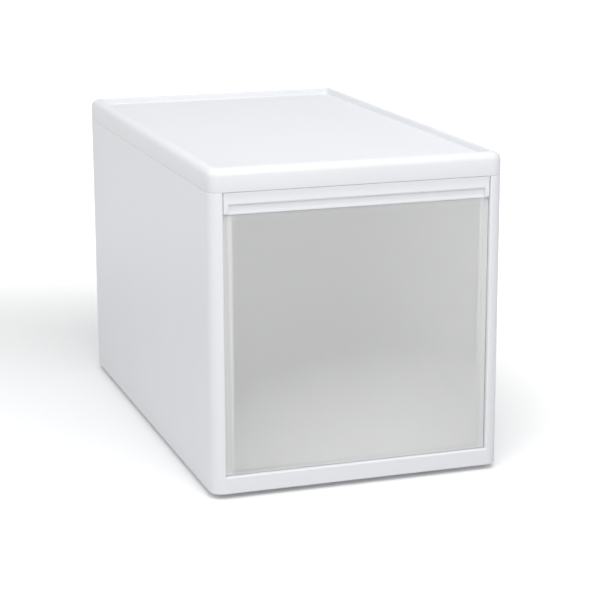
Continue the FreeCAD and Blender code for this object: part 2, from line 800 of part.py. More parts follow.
def write(name, shape):
    """Write one piece as a STEP file and print what it measures."""
    solids = shape.Solids
    piece = solids[0] if len(solids) == 1 else Part.makeCompound(solids)
    bound = piece.BoundBox
    print("%-18s solids %d valid %s volume %.0f  x %.1f..%.1f  y %.1f..%.1f  z %.1f..%.1f" % (
        name, len(solids), piece.isValid(), piece.Volume,
        bound.XMin, bound.XMax, bound.YMin, bound.YMax, bound.ZMin, bound.ZMax))
    piece.exportStep("parts/%s.step" % name)


os.makedirs("parts", exist_ok=True)
left_side = side_panel()
left_stop = drawer_stop()
write("front_frame", front_frame())
write("left_side_panel", left_side)
write("right_side_panel", mirrored(left_side))
write("back_panel", back_panel())
write("base_panel", base_panel())
write("top_lid", top_lid())
write("drawer_stop_left", left_stop)
write("drawer_stop_right", mirrored(left_stop))
write("drawer_tray", drawer_tray())
write("pull_rail", pull_rail())
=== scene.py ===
"""Looks of the stackable drawer box: white moulded case, frosted drawer, white finger pull.

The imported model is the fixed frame. Metres, +Z up, the front faces -Y.
"""
import logging
import math
from dataclasses import dataclass
from enum import Enum, IntEnum
from typing import Any, Callable

import bmesh
import bpy
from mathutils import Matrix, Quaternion, Vector


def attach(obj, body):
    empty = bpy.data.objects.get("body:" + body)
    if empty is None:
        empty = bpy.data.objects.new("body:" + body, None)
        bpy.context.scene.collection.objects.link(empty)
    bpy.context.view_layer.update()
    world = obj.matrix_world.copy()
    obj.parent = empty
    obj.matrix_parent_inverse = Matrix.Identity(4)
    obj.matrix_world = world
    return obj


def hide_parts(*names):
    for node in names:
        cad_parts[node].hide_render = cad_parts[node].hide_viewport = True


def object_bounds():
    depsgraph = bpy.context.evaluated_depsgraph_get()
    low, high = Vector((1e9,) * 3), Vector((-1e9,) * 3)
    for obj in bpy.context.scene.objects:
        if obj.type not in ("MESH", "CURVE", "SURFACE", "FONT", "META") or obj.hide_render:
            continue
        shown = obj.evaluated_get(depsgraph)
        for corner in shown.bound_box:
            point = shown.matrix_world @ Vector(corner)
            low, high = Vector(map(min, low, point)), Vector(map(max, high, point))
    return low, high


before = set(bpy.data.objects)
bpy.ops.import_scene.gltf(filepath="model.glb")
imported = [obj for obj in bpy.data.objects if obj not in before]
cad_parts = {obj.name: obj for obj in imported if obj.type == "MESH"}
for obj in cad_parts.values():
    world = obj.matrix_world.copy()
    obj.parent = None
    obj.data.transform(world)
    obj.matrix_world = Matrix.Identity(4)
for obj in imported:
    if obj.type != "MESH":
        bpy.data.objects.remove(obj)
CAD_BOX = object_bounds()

log = logging.getLogger("drawer_box")

MM = 0.001

# How far a cutting block stands past what it cuts, in millimetres.
OVERRUN = 1.0

# How far past a place a test looks, to tell it from its neighbours, in millimetres.
STEP = 0.1

# A Mix node has sockets of the same name for numbers and for colours, so they are given by number.
NUMBER_A, NUMBER_B = 2, 3
COLOUR_A, COLOUR_B, COLOUR_OUT = 6, 7, 2


class Body(Enum):
    """The two bodies that pieces ride on."""

    CASE = "case"
    DRAWER = "drawer"


class Slot(Enum):
    """The record's material slots."""

    WHITE = "white_pp"
    FROSTED = "frosted_pp"


class Axis(IntEnum):
    """The frame's three axes."""

    X = 0
    Y = 1
    Z = 2


class Pick(Enum):
    """What a test picks in edit mode."""

    CORNER = "VERT"
    EDGE = "EDGE"


class Join(Enum):
    """What a second piece does to the first one."""

    ADD = "UNION"
    CUT = "DIFFERENCE"


@dataclass(frozen=True)
class Round:
    """A rounding: its radius in millimetres and the facets that draw it."""

    radius: float
    facets: int


def frame_mm(metres: float) -> float:
    """A place of the frame in millimetres, to a hundredth, as the part's source gives it."""
    return round(metres / MM, 2)


def linear_colour(hex_code: str) -> tuple[float, float, float, float]:
    """Turn an sRGB hex colour into linear RGBA.

    Args:
        hex_code: Colour as "#RRGGBB".

    Returns:
        Linear red, green, blue and an alpha of 1.
    """
    parts = [int(hex_code[i:i + 2], 16) / 255 for i in (1, 3, 5)]
    low = [p / 12.92 if p <= 0.04045 else ((p + 0.055) / 1.055) ** 2.4 for p in parts]
    return (low[0], low[1], low[2], 1.0)


def add_node(tree: bpy.types.NodeTree, kind: str, settings: dict[str, Any] | None = None,
             links: dict[Any, bpy.types.NodeSocket] | None = None) -> bpy.types.Node:
    """Add a node with its settings and its incoming links.

    Args:
        tree: The node tree that gets the node.
        kind: Blender's node type name.
        settings: Values by input name or number, or by attribute name when no input has it.
        links: Output sockets by the name or number of the input that they feed.

    Returns:
        The new node.
    """
    node = tree.nodes.new(kind)
    for key, value in (settings or {}).items():
        if isinstance(key, int) or key in node.inputs:
            node.inputs[key].default_value = value
        else:
            setattr(node, key, value)
    for key, socket in (links or {}).items():
        tree.links.new(socket, node.inputs[key])
    return node


def new_material(name: str) -> bpy.types.Material:
    """Start a material with an empty node tree.

    Args:
        name: The material's name.

    Returns:
        The material.
    """
    material = bpy.data.materials.new(name)
    material.use_nodes = True
    material.node_tree.nodes.clear()
    return material


@dataclass(frozen=True)
class MouldGrain:
    """The fine even grain that a sparked or blasted mould leaves on plastic.

    It spreads highlights into soft satin bands. The real grain is 0.05 to 0.1 mm, too fine for the
    render, so it is drawn coarser.
    """

    size_mm: float
    depth_mm: float
    strength: float
    roughness_low: float
    roughness_high: float
    detail: float = 2.0
    falloff: float = 0.6

    def add(self, tree: bpy.types.NodeTree, place: bpy.types.NodeSocket) -> dict[str, bpy.types.NodeSocket]:
        """Add the grain's nodes.

        Args:
            tree: The material's node tree.
            place: Object coordinates.

        Returns:
            The sockets for the shader's roughness and normal, by input name.
        """
        grain = add_node(tree, "ShaderNodeTexNoise",
                         {"Scale": 1 / (self.size_mm * MM), "Detail": self.detail,
                          "Roughness": self.falloff}, {"Vector": place})
        gloss = add_node(tree, "ShaderNodeMapRange",
                         {"To Min": self.roughness_low, "To Max": self.roughness_high},
                         {"Value": grain.outputs["Fac"]})
        bump = add_node(tree, "ShaderNodeBump",
                        {"Strength": self.strength, "Distance": self.depth_mm * MM},
                        {"Height": grain.outputs["Fac"]})
        return {"Roughness": gloss.outputs["Result"], "Normal": bump.outputs["Normal"]}


@dataclass(frozen=True)
class MouldedPolypropylene:
    """White opaque polypropylene, injection moulded against a fine-sparked steel mould.

    Its tone drifts very slightly over a hand's width, where the melt flowed.
    """

    name: str = "white_moulded_polypropylene"
    colour: str = "#ECEDF0"
    shade: str = "#E8EAED"
    flow_mm: float = 90.0
    flow_detail: float = 1.0
    grain: MouldGrain = MouldGrain(size_mm=1.6, depth_mm=0.02, strength=0.5,
                                   roughness_low=0.36, roughness_high=0.44)
    ior: float = 1.49

    def make(self) -> bpy.types.Material:
        """Build the material.

        Returns:
            The node-based material.
        """
        material = new_material(self.name)
        tree = material.node_tree
        place = add_node(tree, "ShaderNodeTexCoord").outputs["Object"]
        flow = add_node(tree, "ShaderNodeTexNoise",
                        {"Scale": 1 / (self.flow_mm * MM), "Detail": self.flow_detail}, {"Vector": place})
        tone = add_node(tree, "ShaderNodeMix",
                        {"data_type": "RGBA", COLOUR_A: linear_colour(self.colour),
                         COLOUR_B: linear_colour(self.shade)}, {0: flow.outputs["Fac"]})
        plastic = add_node(tree, "ShaderNodeBsdfPrincipled", {"IOR": self.ior},
                           {"Base Color": tone.outputs[COLOUR_OUT], **self.grain.add(tree, place)})
        add_node(tree, "ShaderNodeOutputMaterial", links={"Surface": plastic.outputs["BSDF"]})
        return material


@dataclass(frozen=True)
class FrostedPolypropylene:
    """Unpigmented polypropylene, moulded in a blasted mould.

    It lets light through but blurs everything more than a few millimetres behind it. Light is painted
    into it: where the walls and the floor stand behind the front, towards its right and near its rim, it is
    made less clear, so that it reads lighter, standing in for the light that reaches it from inside the
    drawer.
    """

    name: str = "frosted_polypropylene"
    colour: str = "#F2F2F2"
    grain: MouldGrain = MouldGrain(size_mm=1.2, depth_mm=0.03, strength=0.4,
                                   roughness_low=0.26, roughness_high=0.32)
    ior: float = 1.49
    # Clearness is the share of light that passes. Each painted light is how much of it is taken away at a
    # place, which makes the front lighter there: painted light, not milkier plastic.
    clearness: float = 0.62
    foot_painted_light: float = 0.31
    foot_place_mm: tuple[float, float] = (12.0, 15.0)
    foot_spread_mm: tuple[float, float] = (150.0, 90.0)
    foot_full_share: float = 0.25
    foot_end_share: float = 1.15
    right_painted_light: float = 0.09
    right_reach_mm: float = 110.0
    wall_painted_light: float = 0.32
    wall_start_mm: float = 106.2
    wall_full_mm: float = 108.6
    rim_painted_light: float = 0.1
    rim_start_mm: float = 231.5
    rim_full_mm: float = 236.5
    daylight: str = "#BFBFBF"

    def add_clearness(self, tree: bpy.types.NodeTree, place: bpy.types.NodeSocket) -> bpy.types.NodeSocket:
        """How clear the plastic is at each place, with painted light: less clear, so lighter, near the foot,
        to the right, at the walls and near the rim.

        Args:
            tree: The material's node tree.
            place: Object coordinates.

        Returns:
            The socket with the clearness.
        """
        ways = add_node(tree, "ShaderNodeSeparateXYZ", links={0: place})
        across = ways.outputs["X"]
        scale_x, scale_z = (1 / (spread * MM) for spread in self.foot_spread_mm)
        middle_x, middle_z = (middle * MM for middle in self.foot_place_mm)
        pool = add_node(tree, "ShaderNodeMapping",
                        {"Location": (-middle_x * scale_x, 0.0, -middle_z * scale_z),
                         "Scale": (scale_x, 0.0, scale_z)}, {"Vector": place})
        reach = add_node(tree, "ShaderNodeVectorMath", {"operation": "LENGTH"}, {0: pool.outputs["Vector"]})
        foot = add_node(tree, "ShaderNodeMapRange",
                        {"From Min": self.foot_full_share, "From Max": self.foot_end_share,
                         "To Min": self.foot_painted_light, "To Max": 0.0}, {"Value": reach.outputs["Value"]})
        right = add_node(tree, "ShaderNodeMapRange",
                         {"From Min": 0.0, "From Max": self.right_reach_mm * MM, "To Min": 0.0,
                          "To Max": self.right_painted_light}, {"Value": across})
        outwards = add_node(tree, "ShaderNodeMath", {"operation": "ABSOLUTE"}, {0: across})
        wall = add_node(tree, "ShaderNodeMapRange",
                        {"From Min": self.wall_start_mm * MM, "From Max": self.wall_full_mm * MM,
                         "To Min": 0.0, "To Max": self.wall_painted_light}, {"Value": outwards.outputs[0]})
        rim = add_node(tree, "ShaderNodeMapRange",
                       {"From Min": self.rim_start_mm * MM, "From Max": self.rim_full_mm * MM,
                        "To Min": 0.0, "To Max": self.rim_painted_light}, {"Value": ways.outputs["Z"]})
        # Painted light: a lighter pool at the foot, a lighter right side and lighter strips at the walls and
        # the rim, all made by taking clearness away.
        painted_light = foot.outputs["Result"]
        for operation, more in (("ADD", right), ("ADD", rim), ("MAXIMUM", wall)):
            painted_light = add_node(tree, "ShaderNodeMath", {"operation": operation},
                            {0: painted_light, 1: more.outputs["Result"]}).outputs[0]
        return add_node(tree, "ShaderNodeMath", {"operation": "SUBTRACT", 0: self.clearness},
                        {1: painted_light}).outputs[0]

    def make(self) -> bpy.types.Material:
        """Build the material.

        Returns:
            The node-based material.
        """
        material = new_material(self.name)
        tree = material.node_tree
        place = add_node(tree, "ShaderNodeTexCoord").outputs["Object"]
        plastic = add_node(tree, "ShaderNodeBsdfPrincipled",
                           {"Base Color": linear_colour(self.colour), "IOR": self.ior},
                           {"Transmission Weight": self.add_clearness(tree, place),
                            **self.grain.add(tree, place)})
        # Light falls through the wall into the drawer, as it does through real frosted plastic.
        rays = add_node(tree, "ShaderNodeLightPath")
        through = add_node(tree, "ShaderNodeBsdfTransparent", {"Color": linear_colour(self.daylight)})
        wall = add_node(tree, "ShaderNodeMixShader",
                        links={0: rays.outputs["Is Shadow Ray"], 1: plastic.outputs["BSDF"],
                               2: through.outputs["BSDF"]})
        add_node(tree, "ShaderNodeOutputMaterial", links={"Surface": wall.outputs[0]})
        return material


def dress(piece: bpy.types.Object, material: bpy.types.Material) -> None:
    """Put one material on every slot of a piece.

    Args:
        piece: The object to dress.
        material: Its finish.
    """
    if not piece.material_slots:
        piece.data.materials.append(material)
    for place in piece.material_slots:
        place.material = material


Place = tuple[float, float, float]


@dataclass
class Workpiece:
    """One piece on the bench: a block that is shaped with the modelling tools.

    Lengths are in millimetres, in the part's frame.
    """

    item: bpy.types.Object

    @classmethod
    def block(cls, name: str, low: Place, high: Place) -> "Workpiece":
        """Start from a block between two corners.

        Args:
            name: The piece's name.
            low: Its corner with the lowest x, y and z.
            high: Its corner with the highest ones.

        Returns:
            The piece.
        """
        bpy.ops.object.select_all(action="DESELECT")
        middle = [(a + b) / 2 * MM for a, b in zip(low, high)]
        size = [(b - a) * MM for a, b in zip(low, high)]
        bpy.ops.mesh.primitive_cube_add(size=1.0, location=middle, scale=size)
        bpy.ops.object.transform_apply(location=True, rotation=True, scale=True)
        item = bpy.context.object
        item.name = name
        item.data.name = name
        return cls(item)

    def enter(self) -> None:
        """Go into edit mode on this piece alone."""
        bpy.ops.object.select_all(action="DESELECT")
        self.item.select_set(True)
        bpy.context.view_layer.objects.active = self.item
        bpy.ops.object.mode_set(mode="EDIT")

    def leave(self) -> None:
        """Go back to object mode."""
        bpy.ops.object.mode_set(mode="OBJECT")

    def pick(self, kind: Pick, test: Callable[..., bool]) -> int:
        """Select corners or edges by their place, in edit mode.

        Args:
            kind: What is picked.
            test: Takes a corner's place in millimetres, or an edge's middle and direction.

        Returns:
            How many were picked.
        """
        bpy.ops.mesh.select_mode(type=kind.value)
        bpy.ops.mesh.select_all(action="DESELECT")
        mesh = bmesh.from_edit_mesh(self.item.data)
        if kind is Pick.CORNER:
            chosen = [v for v in mesh.verts if test(v.co / MM)]
        else:
            chosen = [e for e in mesh.edges if test(
                (e.verts[0].co + e.verts[1].co) / 2 / MM, (e.verts[1].co - e.verts[0].co).normalized())]
        for element in chosen:
            element.select_set(True)
        mesh.select_flush_mode()
        bmesh.update_edit_mesh(self.item.data)
        return len(chosen)

    def slice_at(self, axis: Axis, places: list[float]) -> None:
        """Cut the mesh across an axis, without parting it.

        Args:
            axis: The axis.
            places: Where to cut.
        """
        way = Vector([1.0 if other is axis else 0.0 for other in Axis])
        for place in places:
            bpy.ops.mesh.select_all(action="SELECT")
            bpy.ops.mesh.bisect(plane_co=way * place * MM, plane_no=way)

    def move(self, test: Callable[..., bool], offset: Place) -> None:
        """Move corners.

        Args:
            test: Picks the corners by their place.
            offset: How far they move.
        """
        if self.pick(Pick.CORNER, test):
            bpy.ops.transform.translate(value=[v * MM for v in offset])

    def round(self, rounding: Round, test: Callable[..., bool]) -> None:
        """Round edges.

        Args:
            rounding: Its radius and facets.
            test: Picks the edges by their middle and direction.
        """
        if self.pick(Pick.EDGE, test):
            bpy.ops.mesh.bevel(offset=rounding.radius * MM, segments=rounding.facets, affect="EDGES",
                               clamp_overlap=False)

    def combine(self, other: "Workpiece", how: Join) -> None:
        """Add another piece to this one, or cut it away.

        Args:
            other: The other piece, which is used up.
            how: Which of the two.
        """
        bpy.context.view_layer.objects.active = self.item
        change = self.item.modifiers.new(how.name, "BOOLEAN")
        change.operation = how.value
        change.solver = "EXACT"
        change.object = other.item
        bpy.ops.object.modifier_apply(modifier=change.name)
        bpy.data.objects.remove(other.item, do_unlink=True)

    def copied(self, offset: Place) -> "Workpiece":
        """Copy the piece, with a mesh of its own.

        Args:
            offset: How far the copy is moved.

        Returns:
            The copy.
        """
        bpy.ops.object.select_all(action="DESELECT")
        self.item.select_set(True)
        bpy.context.view_layer.objects.active = self.item
        bpy.ops.object.duplicate(linked=False)
        twin = Workpiece(bpy.context.object)
        bpy.ops.transform.translate(value=[v * MM for v in offset])
        bpy.ops.object.transform_apply(location=True, rotation=True, scale=True)
        return twin

    def finish(self, smooth_deg: float = 32.0, merge: float = 0.002) -> bpy.types.Object:
        """Clean the mesh and smooth its rounded places.

        Args:
            smooth_deg: Edges sharper than this stay crisp.
            merge: Corners nearer than this become one.

        Returns:
            The finished object.
        """
        self.enter()
        bpy.ops.mesh.select_all(action="SELECT")
        bpy.ops.mesh.remove_doubles(threshold=merge * MM)
        bpy.ops.mesh.normals_make_consistent(inside=False)
        self.leave()
        bpy.ops.object.shade_smooth_by_angle(angle=math.radians(smooth_deg))
        return self.item


def near(value: float, place: float, reach: float = 0.02) -> bool:
    """Whether two lengths are the same within a reach."""
    return abs(value - place) < reach


def runs(way: Vector, axis: Axis) -> bool:
    """Whether an edge runs along an axis."""
    return near(abs(way[axis]), 1)


def hand_in(piece: bpy.types.Object, node: str, body: Body, material: bpy.types.Material) -> None:
    """Put a new piece in the place of a CAD node.

    Args:
        piece: The new object.
        node: The node that it replaces.
        body: The body that it rides on.
        material: Its finish.
    """
    dress(piece, material)
    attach(piece, body.value)
    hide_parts(node)
    log.info("modelled %s", piece.name)


@dataclass
class CaseShell:
    """The case's CAD pieces, which keep their shape and get the moulded finish."""

    white: bpy.types.Material
    nodes: tuple[str, ...] = ("left_side_panel", "right_side_panel", "back_panel", "base_panel",
                              "front_frame", "drawer_stop_left", "drawer_stop_right")

    def build(self) -> None:
        """Dress every CAD piece of the case."""
        for name in self.nodes:
            dress(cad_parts[name], self.white)
            log.info("dressed %s", name)


@dataclass
class LidCover:
    """The lid: rolled at its edge, sunk inside its rim, ribbed, with a skirt and snap hooks underneath."""

    white: bpy.types.Material
    # The lid's outside is as wide and deep as the frame's box, and its top is the box's top.
    half: float = frame_mm(CAD_BOX[1][Axis.X])
    front_y: float = frame_mm(CAD_BOX[0][Axis.Y])
    back_y: float = frame_mm(CAD_BOX[1][Axis.Y])
    top_z: float = frame_mm(CAD_BOX[1][Axis.Z])
    height: float = 19.5
    front_corner: float = 10.5
    front_corner_facets: int = 10
    back_corner: float = 7.5
    back_corner_facets: int = 8
    roll: Round = Round(7.0, 10)
    seam_round: Round = Round(0.6, 3)
    wall: float = 2.2
    hollow_facets: int = 6
    rim: float = 8.5
    rim_round: Round = Round(1.4, 5)
    recess: float = 6.0
    recess_corner: float = 5.0
    recess_foot_round: Round = Round(1.2, 4)
    panel_wall: float = 2.4
    rib_wall: float = 1.5
    rib_depth: float = 5.0
    ribs_along: int = 3
    ribs_across: int = 5
    skirt_half: float = 125.0
    skirt_front_y: float = -195.7
    skirt_back_y: float = 210.2
    skirt_depth: float = 5.0
    skirt_rise: float = 4.0
    skirt_wall: float = 2.0
    flange_rise: float = 0.9
    flange_reach: float = 1.0
    flange_back_reach: float = 3.0
    hook_outer: float = 123.8
    hook_wall: float = 2.0
    hook_width: float = 13.4
    hook_depth: float = 12.0
    hook_rise: float = 3.0
    hook_first_y: float = -181.7
    hook_pitch: float = 181.95
    hook_count: int = 3
    barb_height: float = 3.7
    barb_reach: float = 1.0

    @property
    def seam_z(self) -> float:
        """Where the lid stands on the case."""
        return self.top_z - self.height

    @property
    def panel_z(self) -> float:
        """Top of the sunk panel."""
        return self.top_z - self.recess

    def rounded_block(self, name: str, inset: float, low_z: float, high_z: float,
                      front_corner: float, back_corner: float) -> Workpiece:
        """A block with the lid's plan outline, set in, left in edit mode.

        Args:
            name: Its name.
            inset: How far it is set in from the lid's outside.
            low_z: Its foot.
            high_z: Its top.
            front_corner: Radius of its front corners in plan.
            back_corner: Radius of its back corners in plan.

        Returns:
            The piece.
        """
        block = Workpiece.block(name, (-self.half + inset, self.front_y + inset, low_z),
                                (self.half - inset, self.back_y - inset, high_z))
        block.enter()
        block.round(Round(front_corner, self.front_corner_facets),
                    lambda p, way: runs(way, Axis.Z) and p.y < 0)
        block.round(Round(back_corner, self.back_corner_facets),
                    lambda p, way: runs(way, Axis.Z) and p.y > 0)
        return block

    def make_hollow(self) -> Workpiece:
        """What is cut out under the shell: the roll's inside, less the walls of the sunk panel.

        Returns:
            The piece.
        """
        hollow_top = self.top_z - self.wall
        hollow = self.rounded_block("hollow", self.wall, self.seam_z - OVERRUN, hollow_top,
                                    self.front_corner - self.wall, self.back_corner - self.wall)
        hollow.round(Round(self.roll.radius - self.wall, self.hollow_facets),
                     lambda p, way: near(p.z, hollow_top))
        hollow.leave()
        core = self.rounded_block("core", self.rim - self.panel_wall, self.panel_z - self.panel_wall,
                                  self.top_z, self.recess_corner, self.recess_corner)
        core.leave()
        hollow.combine(core, Join.CUT)
        return hollow

    def make_shell(self) -> Workpiece:
        """The rolled shell with its sunk panel, hollow underneath.

        Returns:
            The piece.
        """
        shell = self.rounded_block("lid_cover", 0, self.seam_z, self.top_z,
                                   self.front_corner, self.back_corner)
        shell.round(self.roll, lambda p, way: near(p.z, self.top_z))
        shell.round(self.seam_round, lambda p, way: near(p.z, self.seam_z))
        shell.leave()
        sunk = self.rounded_block("sunk", self.rim, self.panel_z, self.top_z + OVERRUN,
                                  self.recess_corner, self.recess_corner)
        sunk.round(self.recess_foot_round, lambda p, way: near(p.z, self.panel_z))
        sunk.leave()
        shell.combine(sunk, Join.CUT)
        shell.enter()
        shell.round(self.rim_round, lambda p, way: (
            near(p.z, self.top_z) and abs(p.x) < self.half - self.rim + STEP
            and abs(p.y) < self.back_y - self.rim + STEP))
        shell.leave()
        shell.combine(self.make_hollow(), Join.CUT)
        return shell

    def make_ribs(self) -> list[Workpiece]:
        """The grid of ribs under the panel, one of each way copied.

        Returns:
            The pieces.
        """
        # A rib starts in the middle of the panel's wall, so that the two join well.
        high = self.panel_z - self.panel_wall / 2
        low = self.panel_z - self.panel_wall - self.rib_depth
        end_x, end_y, half_wall = self.half - self.rim, self.back_y - self.rim, self.rib_wall / 2
        pitch_x = 2 * end_x / (self.ribs_along + 1)
        pitch_y = 2 * end_y / (self.ribs_across + 1)
        across = Workpiece.block("rib", (-end_x, -end_y + pitch_y - half_wall, low),
                                 (end_x, -end_y + pitch_y + half_wall, high))
        along = Workpiece.block("rib", (-end_x + pitch_x - half_wall, -end_y, low),
                                (-end_x + pitch_x + half_wall, end_y, high))
        ribs = [across, along]
        ribs += [across.copied((0, pitch_y * i, 0)) for i in range(1, self.ribs_across)]
        ribs += [along.copied((pitch_x * i, 0, 0)) for i in range(1, self.ribs_along)]
        return ribs

    def make_skirt(self) -> Workpiece:
        """The skirt that finds its place between the side panels and the back, open at the front.

        Returns:
            The piece.
        """
        half, back_y = self.skirt_half, self.skirt_back_y
        low_z, high_z = self.seam_z - self.skirt_depth, self.seam_z + self.skirt_rise
        skirt = Workpiece.block("skirt", (-half, self.skirt_front_y, low_z), (half, back_y, high_z))
        flange = Workpiece.block(
            "flange", (-half - self.flange_reach, self.skirt_front_y, self.seam_z + self.flange_rise),
            (half + self.flange_reach, back_y + self.flange_back_reach, high_z))
        skirt.combine(flange, Join.ADD)
        middle = Workpiece.block(
            "middle", (-half + self.skirt_wall, self.skirt_front_y - OVERRUN, low_z - OVERRUN),
            (half - self.skirt_wall, back_y - self.skirt_wall, high_z + OVERRUN))
        skirt.combine(middle, Join.CUT)
        return skirt

    def make_hooks(self, side: int) -> list[Workpiece]:
        """The snap hooks of one side, one made and copied.

        Args:
            side: -1 for the left side, 1 for the right.

        Returns:
            The pieces.
        """
        start_y, end_y = self.hook_first_y - self.hook_width / 2, self.hook_first_y + self.hook_width / 2
        low_z, outer, tip = self.seam_z - self.hook_depth, self.hook_outer, self.hook_outer + self.barb_reach
        arm_ends = sorted((side * outer, side * (outer - self.hook_wall)))
        barb_ends = sorted((side * tip, side * (outer - self.hook_wall / 2)))
        hook = Workpiece.block("hook", (arm_ends[0], start_y, low_z),
                               (arm_ends[1], end_y, self.seam_z + self.hook_rise))
        barb = Workpiece.block("barb", (barb_ends[0], start_y, low_z),
                               (barb_ends[1], end_y, low_z + self.barb_height))
        barb.enter()
        barb.move(lambda p: near(p.z, low_z) and near(abs(p.x), tip), (-side * self.barb_reach, 0, 0))
        barb.leave()
        hook.combine(barb, Join.ADD)
        return [hook] + [hook.copied((0, self.hook_pitch * i, 0)) for i in range(1, self.hook_count)]

    def build(self) -> None:
        """Model the lid in place of its CAD node."""
        lid = self.make_shell()
        for addition in [*self.make_ribs(), self.make_skirt(), *self.make_hooks(-1), *self.make_hooks(1)]:
            lid.combine(addition, Join.ADD)
        hand_in(lid.finish(), "top_lid", Body.CASE, self.white)


@dataclass
class FingerPull:
    """White rail along the drawer's top edge: a slightly hollow face, a nose, a shallow groove and a lip."""

    white: bpy.types.Material
    half: float = 115.1
    end_wall: float = 4.2
    top_z: float = 256.3
    foot_z: float = 237.75
    face_y: float = -214.7
    back_y: float = -207.7
    nose_foot_z: float = 245.6
    nose_setback: float = 0.7
    nose_round: Round = Round(2.0, 6)
    groove_top_y: float = -212.3
    groove_foot_y: float = -211.2
    groove_foot_z: float = 240.9
    lip_y: float = -211.6
    lip_z: float = 239.7
    edge_round: Round = Round(0.4, 3)
    top_round: Round = Round(0.3, 6)
    end_edge_round: Round = Round(0.9, 4)
    end_foot_round: Round = Round(2.4, 6)
    # Heights on the face, and how far back the face lies there.
    hollow: tuple[tuple[float, float], ...] = (
        (254.8, 0.32), (253.3, 0.57), (251.8, 0.74), (250.4, 0.84), (249.0, 0.86), (247.7, 0.76))

    def hollow_face(self, bar: Workpiece) -> None:
        """Hollow the face a little between its top edge and the nose.

        Args:
            bar: The piece, in edit mode, sliced at the curve's heights.
        """
        bar.move(lambda p: near(p.y, self.face_y) and p.z < self.hollow[-1][0] - STEP,
                 (0, self.nose_setback, 0))
        for height, setback in self.hollow:
            bar.move(lambda p: near(p.y, self.face_y) and near(p.z, height), (0, setback, 0))

    def plain_bar(self, name: str, start_x: float, end_x: float) -> Workpiece:
        """A block with the hollow face, sliced for it, left in edit mode.

        Args:
            name: Its name.
            start_x: Its left end.
            end_x: Its right end.

        Returns:
            The piece.
        """
        bar = Workpiece.block(name, (start_x, self.face_y, self.foot_z), (end_x, self.back_y, self.top_z))
        bar.enter()
        bar.slice_at(Axis.Z, [height for height, _ in self.hollow])
        self.hollow_face(bar)
        bar.round(self.top_round, lambda p, way: (
            runs(way, Axis.X) and near(p.z, self.top_z) and p.y < self.back_y - STEP))
        return bar

    def make_bar(self) -> Workpiece:
        """The rail between its end walls, with the groove cut along it.

        Returns:
            The piece.
        """
        inner = self.half - self.end_wall
        bar = self.plain_bar("finger_pull", -inner, inner)
        bar.leave()
        notch = Workpiece.block("notch", (-inner - OVERRUN, self.face_y - OVERRUN, self.foot_z - OVERRUN),
                                (inner + OVERRUN, self.lip_y, self.nose_foot_z))
        notch.enter()
        notch.slice_at(Axis.Z, [self.lip_z, self.groove_foot_z])
        for height, depth in ((self.groove_foot_z, self.groove_foot_y),
                              (self.nose_foot_z, self.groove_top_y)):
            notch.move(lambda p: near(p.y, self.lip_y) and near(p.z, height), (0, depth - self.lip_y, 0))
        notch.leave()
        bar.combine(notch, Join.CUT)
        bar.enter()
        bar.round(self.nose_round, lambda p, way: (
            runs(way, Axis.X) and near(p.y, self.face_y + self.nose_setback, STEP)
            and near(p.z, self.nose_foot_z)))
        bar.round(self.edge_round, lambda p, way: (
            runs(way, Axis.X) and near(p.y, self.lip_y)
            and (near(p.z, self.lip_z) or near(p.z, self.foot_z))))
        bar.leave()
        return bar

    def make_end(self, side: int) -> Workpiece:
        """A closed end wall.

        Args:
            side: -1 for the left end, 1 for the right.

        Returns:
            The piece.
        """
        inner, outer = side * (self.half - self.end_wall), side * self.half
        end = self.plain_bar("end_wall", min(inner, outer), max(inner, outer))
        end.round(self.end_foot_round, lambda p, way: (
            runs(way, Axis.X) and p.y < self.face_y + self.nose_setback + STEP
            and near(p.z, self.foot_z)))
        end.round(self.end_edge_round, lambda p, way: (
            near(p.x, outer) and p.y < self.lip_y
            and not near(p.z, self.foot_z) and not near(p.z, self.top_z)))
        end.leave()
        return end

    def build(self) -> None:
        """Model the pull in place of its CAD node."""
        bar = self.make_bar()
        for side in (-1, 1):
            bar.combine(self.make_end(side), Join.ADD)
        hand_in(bar.finish(), "pull_rail", Body.DRAWER, self.white)


